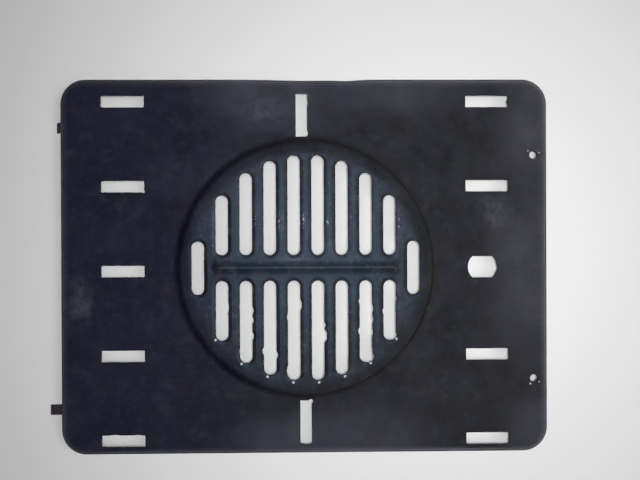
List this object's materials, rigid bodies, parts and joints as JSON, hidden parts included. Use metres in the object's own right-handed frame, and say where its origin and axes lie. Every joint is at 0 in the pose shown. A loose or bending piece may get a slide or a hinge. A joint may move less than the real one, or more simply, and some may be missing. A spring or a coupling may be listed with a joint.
{
  "type": "oven fan cover panel",
  "caption": "Flat pressed-steel cover panel with a raised round slotted grille, straight air slots around it, a flanged rim, screw holes and hook tabs.",
  "frame": {"origin": "centre of the bounding box, on the plane of the flange's back edge, which the panel rests on", "axes": "+X to the right along the long side, away from the hook tabs; +Y up the short side as the panel hangs; +Z out of the front face"},
  "size_m": [0.4244, 0.316, 0.0182],
  "materials": {
    "black_enamel": "used black vitreous enamel, satin, mottled with baked grease, chipped at the slot edges",
    "worn_tab_steel": "black enamel worn through to brownish, heat-tinted steel"
  },
  "bodies": {
    "root": {"panel": "black_enamel", "hook_tab_upper": "worn_tab_steel", "hook_tab_lower": "worn_tab_steel"}
  },
  "joints": []
}
